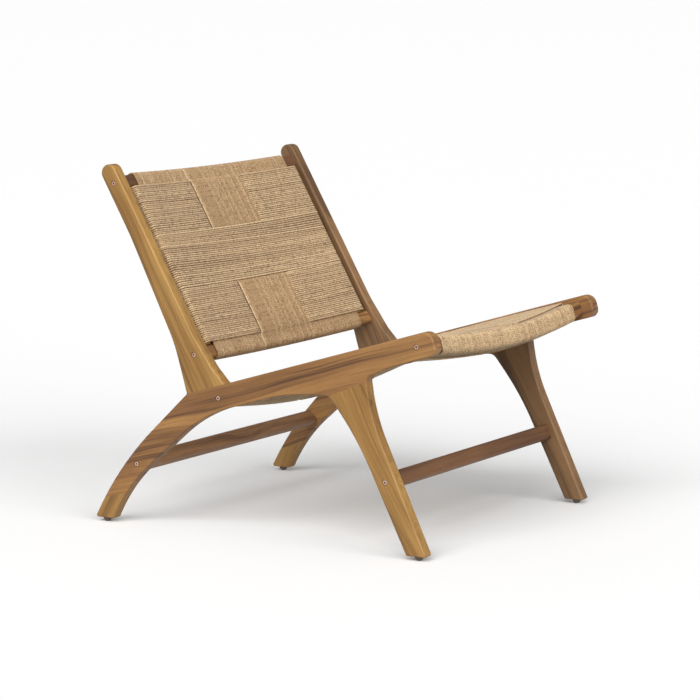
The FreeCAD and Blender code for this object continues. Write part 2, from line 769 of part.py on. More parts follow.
def build_insert():
    """Master insert nut: a sleeve that starts at the origin and runs along Z."""
    outside = rod("insert_outside", "Dims.insert_diameter / 2", "Dims.insert_length",
                  FreeCAD.Placement())
    bore = rod("insert_bore", "Dims.bolt_diameter / 2 + Dims.drill_clearance",
               "Dims.insert_length", FreeCAD.Placement())
    return cut("insert_master", outside, [bore])


def build_glide():
    """Master glide: a cap that tapers to the floor, with its nail up into the foot."""
    body = new_body("glide_master")
    sketch = new_sketch(body, "XZ_Plane", "glide_profile")
    nail_top = "Dims.glide_height + Dims.glide_nail_length"
    wide, tip = "Dims.glide_diameter / 2", "Dims.glide_tip_diameter / 2"
    nail = "Dims.glide_nail_diameter / 2"
    draw_outline(sketch, [("0", "0"), (tip, "0"), (wide, "Dims.glide_taper_height"),
                          (wide, "Dims.glide_height"), (nail, "Dims.glide_height"),
                          (nail, nail_top), ("0", nail_top)])
    turned = body.newObject("PartDesign::Revolution", "glide_turned")
    turned.Profile = sketch
    turned.ReferenceAxis = (sketch, ["V_Axis"])
    turned.Angle = 360
    doc.recompute()
    return body


def foot_places():
    """Middle of each right-hand foot, on the floor."""
    rear = evaluate("Dims.datum_back + Dims.rear_foot_reach - Dims.rear_foot_width / 2")
    front = evaluate("Dims.datum_back - Dims.front_foot_reach + Dims.front_foot_width / 2")
    return {name: FreeCAD.Placement(Vector(board_x, y, 0), NO_TURN)
            for name, y in (("front", front), ("rear", rear))}


def glue_dowels():
    """Starts of the dowels across each glue line, pointing square to it along local Z."""
    root_span = "(Dims.crotch_reach - Dims.root_reach)"
    joints = {"post": [], "front_leg": [], "rear_toe": []}
    for share in DOWEL_SHARES:
        joints["post"].append(("Dims.post_set_back + %g * Dims.post_foot_length" % share, "0",
                               "Dims.dowel_length", 0))
        joints["front_leg"].append((
            "-Dims.root_reach - %g * %s" % (share, root_span),
            "%g * %s * tan(Dims.root_line_tilt) - Dims.beam_depth - Dims.root_drop"
            % (share, root_span), "Dims.dowel_length", dim("root_line_tilt")))
    joints["rear_toe"].append(("Dims.toe_dowel_reach", "-Dims.toe_line_drop",
                               "Dims.toe_dowel_length", 0))
    starts = {}
    for joint, spots in joints.items():
        starts[joint] = []
        for along, above, length, turn in spots:
            step_back = FreeCAD.Placement(Vector(0, 0, -evaluate(length) / 2), NO_TURN)
            middle = seat_frame.place(along, above, board_x, turn)
            starts[joint].append((middle.multiply(step_back), length))
    return starts


# ---- assembly ----------------------------------------------------------------------------

boards = split_side(build_side_blank())
back = Panel("back", back_frame, False)
seat = Panel("seat", seat_frame, True)
members = {}
members.update(back.build_rails())
members.update(seat.build_rails())
members["front_stretcher"] = build_stretcher(
    "front_stretcher", "-Dims.front_stretcher_reach", "Dims.front_stretcher_height",
    dim("front_stretcher_lean"), True)
members["rear_stretcher"] = build_stretcher(
    "rear_stretcher", "Dims.rear_stretcher_reach", "Dims.rear_stretcher_height",
    -dim("rear_stretcher_lean"), False)

stations = [
    Station("top_back_rail", "back_post", back_frame, "Dims.back_rail_setback",
            back.rails["top_back_rail"]),
    Station("lower_back_rail", "back_post", back_frame, "Dims.back_rail_setback",
            back.rails["lower_back_rail"]),
    Station("rear_seat_rail", "side_beam", seat_frame, seat.rails["rear_seat_rail"],
            "-Dims.seat_rail_drop"),
    Station("front_seat_rail", "side_beam", seat_frame, seat.rails["front_seat_rail"],
            "-Dims.seat_rail_drop"),
    Station("front_stretcher", "front_leg", floor_frame, "-Dims.front_stretcher_reach",
            "Dims.front_stretcher_height", dim("front_stretcher_lean")),
    Station("rear_stretcher", "side_beam", floor_frame, "Dims.rear_stretcher_reach",
            "Dims.rear_stretcher_height", 90 - dim("rear_stretcher_lean")),
]

board_tools = {name: [] for name in boards}
member_tools = {name: [] for name in members}
for station in stations:
    board_tools[station.board] += station.board_drills()
    member_tools[station.member] += station.member_drills()

DOWEL_JOINTS = {"post": ("back_post", "side_beam"), "front_leg": ("front_leg", "side_beam"),
                "rear_toe": ("rear_toe", "side_beam")}
for joint, dowels in glue_dowels().items():
    pieces = []
    for number, (place, length) in enumerate(dowels, start=1):
        label = "%s_dowel_%d" % (joint, number)
        pieces.append(rod(label, "Dims.dowel_diameter / 2", length, place))
        for board in DOWEL_JOINTS[joint]:
            board_tools[board].append(hole("%s_in_%s" % (label, board), "Dims.dowel_diameter",
                                           length, place))
    mirrored_pair(joint + "_dowels", group(joint + "_dowel_group", pieces))

glide = build_glide()
for corner, place in foot_places().items():
    board = "front_leg" if corner == "front" else "rear_toe"
    top = FreeCAD.Placement(Vector(0, 0, dim("glide_height")), NO_TURN)
    board_tools[board].append(hole(corner + "_glide_nail_hole", "Dims.glide_nail_diameter",
                                   "Dims.glide_nail_length", place.multiply(top)))
    mirrored_pair(corner + "_glide", group(corner + "_glide_place", copies(
        corner + "_glide_copy", glide, [place])))

for name, board in boards.items():
    mirrored_pair(name, cut(name + "_drilled", board, board_tools[name]))

for panel in (back, seat):
    stile = panel.build_stile()
    places = panel.stile_dowels()
    pieces = []
    stile_tools = []
    for member, place in zip(panel.stile_joint_order(), places):
        label = "%s_dowel" % member
        pieces.append(rod(label, "Dims.stile_dowel_diameter / 2", "Dims.stile_dowel_length", place))
        for owner, tools in ((member, member_tools[member]), ("stile", stile_tools)):
            tools.append(hole("%s_in_%s" % (label, owner), "Dims.stile_dowel_diameter",
                              "Dims.stile_dowel_length", place))
    mirrored_pair(panel.name + "_stile_dowels", group(panel.name + "_stile_dowel_group", pieces))
    mirrored_pair(panel.name + "_stile", cut(panel.name + "_stile_drilled", stile, stile_tools))
    node(panel.name + "_warp_cord", panel.build_warp())
    node(panel.name + "_weft_cord", panel.build_weft())

for name, bar in members.items():
    right_holes = group(name + "_right_holes", member_tools[name])
    left_holes = doc.addObject("Part::Mirroring", name + "_left_holes")
    left_holes.Source = right_holes
    left_holes.Normal = X_AXIS
    drilled = cut(name + "_drilled_right", bar, [right_holes])
    node(name, cut(name + "_drilled", drilled, [left_holes]))

bolt = build_bolt()
insert = build_insert()
pin = rod("pin_master", "Dims.pin_diameter / 2", "Dims.pin_length", FreeCAD.Placement())
mirrored_pair("frame_bolts", group("bolt_group", copies(
    "bolt", bolt, [station.bolt_place() for station in stations])))
mirrored_pair("insert_nuts", group("insert_group", copies(
    "insert", insert, [station.insert_place() for station in stations])))
mirrored_pair("locating_pins", group("pin_group", copies(
    "pin", pin, [station.pin_place() for station in stations])))

doc.recompute()


# ---- checks and export -------------------------------------------------------------------

broken = [item.Name for item in doc.Objects
          if "Invalid" in item.State or "Error" in item.State]
if broken:
    raise RuntimeError("failed objects: " + ", ".join(broken))
for label, item in nodes.items():
    if item.Shape.isNull() or not item.Shape.isValid() or not item.Shape.Solids:
        raise RuntimeError("bad shape: " + label)
for label, item in nodes.items():
    item.Shape.exportStep("parts/%s.step" % label)
print("%d nodes written" % len(nodes))
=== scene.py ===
"""Low lounge chair: dresses the wooden frame and weaves the cord of its seat and back.

Everything is in metres in the chair's own frame: it faces -Y, Z is up, and the origin is on the
floor under its middle.  The sitter's right is the -X side.
"""

import logging
import math
import random
from dataclasses import dataclass, field
from enum import Enum
from typing import Any, Iterable

import bmesh
import bpy
import numpy as np
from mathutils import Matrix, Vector


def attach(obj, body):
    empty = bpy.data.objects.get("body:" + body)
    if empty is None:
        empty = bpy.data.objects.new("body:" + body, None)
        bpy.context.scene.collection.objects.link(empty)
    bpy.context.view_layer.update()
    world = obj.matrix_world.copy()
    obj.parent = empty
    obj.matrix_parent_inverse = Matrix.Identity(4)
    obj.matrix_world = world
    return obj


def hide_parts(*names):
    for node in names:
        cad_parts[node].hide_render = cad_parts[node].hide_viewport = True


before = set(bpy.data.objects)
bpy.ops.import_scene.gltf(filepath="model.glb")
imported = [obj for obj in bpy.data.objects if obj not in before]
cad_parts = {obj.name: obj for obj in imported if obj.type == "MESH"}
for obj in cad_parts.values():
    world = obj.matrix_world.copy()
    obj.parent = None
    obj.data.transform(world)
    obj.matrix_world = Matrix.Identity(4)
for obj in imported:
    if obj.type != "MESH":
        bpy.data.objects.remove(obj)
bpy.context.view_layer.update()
logging.basicConfig(level=logging.INFO, format="%(message)s")
log = logging.getLogger("lounge_chair")

MM = 0.001
BODY = "root"

Colour = tuple[float, float, float]
Value = Any


def srgb(red: int, green: int, blue: int) -> Colour:
    """Linear colour of an 8-bit display colour.

    Args:
        red: display red, 0 to 255.
        green: display green, 0 to 255.
        blue: display blue, 0 to 255.

    Returns:
        The linear colour.
    """
    return tuple(((part / 255 + 0.055) / 1.055) ** 2.4 if part > 10 else part / 255 / 12.92
                 for part in (red, green, blue))


# ---- shader maths -------------------------------------------------------------------------

class Socket:
    """Output of a node, on which Python's arithmetic adds Math nodes."""

    def __init__(self, shader: "Shader", output: bpy.types.NodeSocket) -> None:
        """Keeps the output and the shader it belongs to."""
        self.shader = shader
        self.output = output

    def _math(self, operation: str, *values: Value) -> "Socket":
        """Adds one Math node and returns its output."""
        return self.shader.add("ShaderNodeMath", {"operation": operation}, *values)

    def __add__(self, other: Value) -> "Socket":
        """Sum."""
        return self._math("ADD", self, other)

    def __radd__(self, other: Value) -> "Socket":
        """Sum with a number on the left."""
        return self._math("ADD", other, self)

    def __sub__(self, other: Value) -> "Socket":
        """Difference."""
        return self._math("SUBTRACT", self, other)

    def __rsub__(self, other: Value) -> "Socket":
        """Difference with a number on the left."""
        return self._math("SUBTRACT", other, self)

    def __mul__(self, other: Value) -> "Socket":
        """Product."""
        return self._math("MULTIPLY", self, other)

    def __rmul__(self, other: Value) -> "Socket":
        """Product with a number on the left."""
        return self._math("MULTIPLY", other, self)

    def __truediv__(self, other: Value) -> "Socket":
        """Quotient."""
        return self._math("DIVIDE", self, other)

    def __pow__(self, other: Value) -> "Socket":
        """Power."""
        return self._math("POWER", self, other)

    def sine(self) -> "Socket":
        """Sine, in radians."""
        return self._math("SINE", self)

    def size(self) -> "Socket":
        """Absolute value."""
        return self._math("ABSOLUTE", self)

    def ramp(self, low: float, high: float) -> "Socket":
        """Smooth step from 0 at low to 1 at high."""
        settings = {"interpolation_type": "SMOOTHSTEP"}
        return self.shader.add("ShaderNodeMapRange", settings, self, low, high, 0.0, 1.0)


class Shader:
    """Material with a principled surface and the nodes that feed it."""

    def __init__(self, name: str) -> None:
        """Makes an empty material with its surface and output."""
        self.material = bpy.data.materials.new(name)
        self.material.use_nodes = True
        self.tree = self.material.node_tree
        self.tree.nodes.clear()
        self.surface = self.tree.nodes.new("ShaderNodeBsdfPrincipled")
        output = self.tree.nodes.new("ShaderNodeOutputMaterial")
        self.tree.links.new(self.surface.outputs[0], output.inputs[0])

    def add(self, kind: str, settings: dict[str, Any], *values: Value, output: int | str = 0,
            **named: Value) -> Socket:
        """Adds one node.

        Args:
            kind: the node's type.
            settings: its settings, which are set before its sockets.
            values: what its first sockets take, in order.
            output: the output to return.
            named: what its named sockets take, with spaces as underscores.

        Returns:
            The chosen output.
        """
        node = self.tree.nodes.new(kind)
        for name, value in settings.items():
            setattr(node, name, value)
        for index, value in enumerate(values):
            self.plug(node.inputs[index], value)
        for name, value in named.items():
            self.plug(node.inputs[name.replace("_", " ")], value)
        return Socket(self, node.outputs[output])

    def plug(self, target: bpy.types.NodeSocket, value: Value) -> None:
        """Links a socket's output into an input, or sets the input's own value."""
        if isinstance(value, Socket):
            self.tree.links.new(value.output, target)
        elif value is not None:
            target.default_value = value

    def set(self, **inputs: Value) -> None:
        """Feeds inputs of the surface, named with underscores for spaces."""
        for name, value in inputs.items():
            self.plug(self.surface.inputs[name.replace("_", " ")], value)

    def mix(self, factor: Value, first: Value, second: Value, blend: str = "MIX") -> Socket:
        """Mixes two colours.

        Args:
            factor: 0 for the first colour, 1 for the second.
            first: a colour or a socket.
            second: a colour or a socket.
            blend: how the second goes over the first.

        Returns:
            The mixed colour.
        """
        node = self.tree.nodes.new("ShaderNodeMix")
        node.data_type = "RGBA"
        node.blend_type = blend
        node.clamp_factor = True
        for target, value in zip((node.inputs[0], node.inputs[6], node.inputs[7]),
                                 (factor, first, second)):
            self.plug(target, (*value, 1.0) if isinstance(value, tuple) else value)
        return Socket(self, node.outputs[2])

    def noise(self, vector: Socket, scale: float, detail: float = 2.0,
              roughness: float = 0.5, distortion: float = 0.0) -> Socket:
        """Noise from 0 to 1 on a vector."""
        return self.add("ShaderNodeTexNoise", {}, Vector=vector, Scale=scale, Detail=detail,
                        Roughness=roughness, Distortion=distortion)

    def stretch(self, vector: Socket, scale: tuple[float, float, float],
                place: tuple[float, float, float] = (0.0, 0.0, 0.0),
                turn: tuple[float, float, float] = (0.0, 0.0, 0.0)) -> Socket:
        """Turns, scales and shifts a vector."""
        return self.add("ShaderNodeMapping", {"vector_type": "POINT"}, vector, Location=place,
                        Rotation=turn, Scale=scale)

    def separate(self, vector: Socket) -> list[Socket]:
        """The three parts of a vector."""
        first = self.add("ShaderNodeSeparateXYZ", {}, vector)
        return [Socket(self, output) for output in first.output.node.outputs]

    def bump(self, height: Socket, strength: float, distance: float) -> Socket:
        """Normal of a bumpy surface."""
        return self.add("ShaderNodeBump", {}, Strength=strength, Distance=distance, Height=height)


# ---- finishes -----------------------------------------------------------------------------

@dataclass(frozen=True)
class WoodTone:
    """Colours of one board's oiled wood."""

    pale: Colour
    mid: Colour
    dark: Colour
    streaks: float


GOLDEN = WoodTone(srgb(184, 143, 80), srgb(156, 117, 62), srgb(98, 68, 38), 0.65)
# Darker tone for the left post and leg: partly another board, partly painted shade for the shade
# the seat casts on that side.
UMBER_WITH_PAINTED_SHADE = WoodTone(srgb(150, 114, 76), srgb(124, 93, 60), srgb(78, 55, 38), 0.8)
HONEY = WoodTone(srgb(168, 129, 72), srgb(146, 108, 58), srgb(100, 70, 40), 0.6)
BROWN = WoodTone(srgb(174, 129, 76), srgb(142, 101, 60), srgb(90, 60, 38), 0.95)
RUSSET = WoodTone(srgb(124, 86, 56), srgb(98, 67, 44), srgb(64, 42, 30), 0.8)
CHESTNUT = WoodTone(srgb(158, 117, 80), srgb(128, 93, 63), srgb(82, 57, 39), 0.8)


@dataclass(frozen=True)
class Wood:
    """Oiled hardwood with streaks, fine fibres and short pores along its grain."""

    tone: WoodTone
    turn: tuple[float, float, float]
    seed: float
    roughness: float = 0.42

    DRIFT_SCALE = (3.0, 2.2, 7.0)
    BAND_SCALE = (16.0, 1.1, 38.0)
    STREAK_SCALE = (34.0, 2.2, 150.0)
    FIBRE_SCALE = (300.0, 9.0, 900.0)
    PORE_SCALE = (700.0, 45.0, 2200.0)
    PATCH_SCALE = 5.0
    GRAIN_BEND = 55.0 * MM
    FIBRE_SHARE = 0.5
    PORE_SHARE = 0.45
    PATCH_SHARE = 0.3
    RELIEF = 0.2 * MM

    def material(self, name: str) -> bpy.types.Material:
        """Makes the material.

        Args:
            name: the material's name.

        Returns:
            The material, whose grain runs along Y after its turn.
        """
        shader = Shader(name)
        place = shader.add("ShaderNodeTexCoord", {}, output="Object")
        board = shader.stretch(place, (1.0, 1.0, 1.0), (self.seed, self.seed * 0.7, 0.0), self.turn)
        drift = shader.noise(shader.stretch(board, self.DRIFT_SCALE), 1.0, 2.0)
        shift = shader.add("ShaderNodeCombineXYZ", {}, 0.0, 0.0, (drift - 0.5) * self.GRAIN_BEND)
        bent = shader.add("ShaderNodeVectorMath", {"operation": "ADD"}, board, shift)
        bands = shader.noise(shader.stretch(bent, self.BAND_SCALE), 1.0, 3.0, 0.55)
        streaks = shader.noise(shader.stretch(bent, self.STREAK_SCALE), 1.0, 4.0, 0.6)
        fibres = shader.noise(shader.stretch(bent, self.FIBRE_SCALE), 1.0, 3.0, 0.65)
        pores = shader.noise(shader.stretch(bent, self.PORE_SCALE), 1.0, 1.0, 0.5)
        tone = self.tone
        colour = shader.mix(bands.ramp(0.38, 0.62), tone.mid, tone.pale)
        dark_streaks = streaks.ramp(0.48, 0.64) * bands.ramp(0.6, 0.4) * tone.streaks
        colour = shader.mix(dark_streaks, colour, tone.dark)
        colour = shader.mix(fibres.ramp(0.42, 0.72) * self.FIBRE_SHARE, colour, tone.dark)
        open_pores = pores.ramp(0.63, 0.72)
        colour = shader.mix(open_pores * self.PORE_SHARE, colour, tone.dark)
        patches = shader.noise(board, self.PATCH_SCALE, 1.0)
        colour = shader.mix(patches.ramp(0.3, 0.75) * self.PATCH_SHARE, colour, tone.mid,
                            "MULTIPLY")
        height = fibres * 0.4 - open_pores
        shader.set(Base_Color=colour,
                   Roughness=self.roughness + fibres * 0.16,
                   Normal=shader.bump(height, 0.25, self.RELIEF),
                   Specular_IOR_Level=0.4)
        return shader.material


@dataclass(frozen=True)
class PaperCord:
    """Twisted paper cord: plies wound round the cord, each cord a little different in tone; the
    creases between plies and the cords' flanks get painted shade.
    """

    pale: Colour = srgb(236, 206, 162)
    mid: Colour = srgb(180, 150, 112)
    # Dark colour for flecks, fuzz and blotches, and for the painted shade in the ply creases and
    # between cords.
    fleck_and_groove_shade: Colour = srgb(104, 70, 40)
    plies: int = 3
    ply_length: float = 4.4 * MM
    fleck_length: float = 5.5 * MM
    spread: float = 29.0
    roughness: float = 0.78

    FLECK_SPREAD = 7.0
    FUZZ_SCALE = 1400.0
    BLOTCH_SCALE = 55.0
    RELIEF = 0.4 * MM

    def material(self, name: str) -> bpy.types.Material:
        """Makes the material, which reads the cord's own UV map and its tone attribute."""
        shader = Shader(name)
        unrolled = shader.add("ShaderNodeUVMap", {"uv_map": Strands.UV_NAME})
        along, turn, _ = shader.separate(unrolled)
        tone = shader.add("ShaderNodeAttribute", {"attribute_name": Strands.TONE_AND_LIGHT_NAME},
                          output="Fac")
        flank_shade = shader.add("ShaderNodeAttribute", {"attribute_name": Strands.FLANK_SHADE_NAME},
                           output="Fac")
        turns = along / self.ply_length + turn * self.plies + tone * self.spread
        plies = (turns * math.pi).sine().size()
        fuzz_place = shader.add("ShaderNodeTexCoord", {}, output="Object")
        fuzz = shader.noise(fuzz_place, self.FUZZ_SCALE, 3.0, 0.7)
        blotches = shader.noise(fuzz_place, self.BLOTCH_SCALE, 2.0, 0.6)
        fleck_place = shader.add("ShaderNodeCombineXYZ", {}, along / self.fleck_length,
                                 tone * self.spread * self.FLECK_SPREAD, 0.0)
        flecks = shader.noise(fleck_place, 1.0, 1.0)
        colour = shader.mix(tone, self.mid, self.pale)
        colour = shader.mix(flecks.ramp(0.55, 0.3) * 0.5, colour, self.fleck_and_groove_shade)
        # Painted shade: the creases between the plies are darkened as well as bumped.
        colour = shader.mix((1.0 - plies) ** 2.0 * 0.7, colour, self.fleck_and_groove_shade)
        colour = shader.mix(fuzz.ramp(0.4, 0.75) * 0.25, colour, self.fleck_and_groove_shade)
        colour = shader.mix(blotches.ramp(0.3, 0.7) * 0.12, colour, self.fleck_and_groove_shade)
        # Painted shade: each cord is darkened on its flanks, where it meets its neighbours.
        colour = shader.mix(flank_shade.ramp(0.55, 1.0) * 0.6, colour, self.fleck_and_groove_shade)
        height = plies ** 0.6 + fuzz * 0.25
        shader.set(Base_Color=colour, Roughness=self.roughness,
                   Normal=shader.bump(height, 0.7, self.RELIEF),
                   Specular_IOR_Level=0.2, Sheen_Weight=0.15)
        return shader.material


@dataclass(frozen=True)
class Metal:
    """Plated or drawn metal with fine turning marks and painted shade in its recesses."""

    colour: Colour
    worn: Colour
    roughness: float
    shade: Colour = srgb(40, 28, 22)

    MARK_SCALE = 900.0
    PATINA_SCALE = 160.0
    RECESS_START = 0.3 * MM
    RECESS_END = 1.6 * MM
    RECESS_SHARE = 0.85
    RELIEF = 0.1 * MM

    def material(self, name: str, face: float) -> bpy.types.Material:
        """Makes the material.

        Args:
            name: the material's name.
            face: how far from the chair's middle the metal's outer face is; what lies deeper,
            such as a hexagon socket, gets painted shade.

        Returns:
            The material.
        """
        shader = Shader(name)
        place = shader.add("ShaderNodeTexCoord", {}, output="Object")
        depth = shader.separate(place)[0].size()
        # Painted shade: what lies deeper than the outer face, such as a hexagon socket, is
        # darkened.
        painted_recess_shade = depth.ramp(face - self.RECESS_START, face - self.RECESS_END)
        marks = shader.noise(place, self.MARK_SCALE, 3.0, 0.6)
        patina = shader.noise(place, self.PATINA_SCALE, 2.0, 0.6)
        colour = shader.mix(patina.ramp(0.35, 0.7), self.colour, self.worn)
        shader.set(Base_Color=shader.mix(painted_recess_shade * self.RECESS_SHARE, colour, self.shade),
                   Roughness=self.roughness + marks * 0.2, Metallic=1.0,
                   Normal=shader.bump(marks, 0.15, self.RELIEF))
        return shader.material


@dataclass(frozen=True)
class Moulded:
    """Dark moulded plastic with a fine pebbled surface."""

    colour: Colour = srgb(92, 80, 70)

    PEBBLE_SCALE = 1600.0
    SCUFF_SCALE = 220.0
    SCUFF_GAIN = 2.2
    RELIEF = 0.2 * MM

    def material(self, name: str) -> bpy.types.Material:
        """Makes the material."""
        shader = Shader(name)
        place = shader.add("ShaderNodeTexCoord", {}, output="Object")
        pebbles = shader.noise(place, self.PEBBLE_SCALE, 2.0, 0.5)
        scuffs = shader.noise(place, self.SCUFF_SCALE, 3.0, 0.6)
        lighter = tuple(min(1.0, part * self.SCUFF_GAIN) for part in self.colour)
        shader.set(Base_Color=shader.mix(scuffs.ramp(0.55, 0.8) * 0.5, self.colour, lighter),
                   Roughness=0.5 + scuffs * 0.25,
                   Normal=shader.bump(pebbles, 0.3, self.RELIEF))
        return shader.material


# ---- cord ---------------------------------------------------------------------------------

@dataclass
class Strands:
    """Many closed cords of one thickness, laid side by side and made as one mesh."""

    name: str
    radius: float
    sideways: Vector
    routes: list[list[Vector]] = field(default_factory=list)
    tones: list[float] = field(default_factory=list)

    UV_NAME = "along_cord"
    TONE_AND_LIGHT_NAME = "cord_tone_and_light"
    FLANK_SHADE_NAME = "cord_flank_shade"
    RING_RESOLUTION = 2

    def add(self, route: list[Vector], tone: float) -> None:
        """Adds one closed cord and its tone, from 0 to 1."""
        self.routes.append(route)
        self.tones.append(tone)

    def mesh(self) -> bpy.types.Object:
        """Makes the cords as one mesh object, unrolled along each cord.

        Returns:
            The object, at the origin.
        """
        curve = bpy.data.curves.new(self.name + "_routes", "CURVE")
        curve.dimensions = "3D"
        curve.bevel_depth = self.radius
        curve.bevel_resolution = self.RING_RESOLUTION
        curve.resolution_u = 1
        for route in self.routes:
            spline = curve.splines.new("POLY")
            spline.points.add(len(route) - 1)
            spline.points.foreach_set("co", [part for spot in route for part in (*spot, 1.0)])
            spline.use_cyclic_u = True
        holder = bpy.data.objects.new(self.name + "_routes", curve)
        bpy.context.scene.collection.objects.link(holder)
        bpy.context.view_layer.update()
        mesh = bpy.data.meshes.new_from_object(holder.evaluated_get(
            bpy.context.evaluated_depsgraph_get()))
        bpy.data.objects.remove(holder)
        mesh.name = self.name
        mesh.materials.clear()
        self.unroll(mesh)
        mesh.shade_smooth()
        piece = bpy.data.objects.new(self.name, mesh)
        bpy.context.scene.collection.objects.link(piece)
        return piece

    def unroll(self, mesh: bpy.types.Mesh) -> None:
        """Gives each cord its length and turn as UV, and its tone and flanks as attributes.

        The flank attribute is 1 where a cord faces its neighbours and 0 where it faces out; the
        cord's material paints shade where it is high.
        """
        spots = sum(len(route) for route in self.routes)
        sides = len(mesh.vertices) // spots
        lengths, starts, cords, totals = [], [], [], []
        for number, route in enumerate(self.routes):
            travelled = 0.0
            for index, spot in enumerate(route):
                lengths.append(travelled)
                starts.append(index == 0)
                cords.append(number)
                travelled += (route[(index + 1) % len(route)] - spot).length
            totals.append(travelled)
        ring_length = np.array(lengths)
        ring_starts = np.array(starts)
        ring_cord = np.array(cords)
        total = np.array(totals)
        corner = np.zeros(len(mesh.loops), np.int32)
        mesh.loops.foreach_get("vertex_index", corner)
        ring, side = corner // sides, corner % sides
        along, turn = ring_length[ring], side / sides
        per_face = 4
        rings = ring.reshape(-1, per_face)
        sidings = side.reshape(-1, per_face)
        wraps = ring_starts[rings].any(axis=1) & ((rings.max(axis=1) - rings.min(axis=1)) > 1)
        at_start = ring_starts[rings] & wraps[:, None]
        along = along + (at_start * total[ring_cord[rings]]).ravel()
        seam = (sidings.max(axis=1) - sidings.min(axis=1)) > 1
        turn = turn + ((sidings == 0) & seam[:, None]).ravel()
        layer = mesh.uv_layers.new(name=self.UV_NAME)
        layer.data.foreach_set("uv", np.stack([along, turn], axis=1).astype(np.float32).ravel())
        tone = mesh.attributes.new(self.TONE_AND_LIGHT_NAME, "FLOAT", "POINT")
        tones = np.array(self.tones)[ring_cord]
        tone.data.foreach_set("value", np.repeat(tones, sides).astype(np.float32))
        places = np.zeros(len(mesh.vertices) * 3, np.float32)
        mesh.vertices.foreach_get("co", places)
        places = places.reshape(-1, sides, 3)
        off_centre = (places - places.mean(axis=1, keepdims=True)) @ np.array(self.sideways)
        # The flank values mark where the material paints shade between neighbouring cords.
        flank_shade = mesh.attributes.new(self.FLANK_SHADE_NAME, "FLOAT", "POINT")
        flank_shade.data.foreach_set("value", (np.abs(off_centre) / self.radius).ravel())


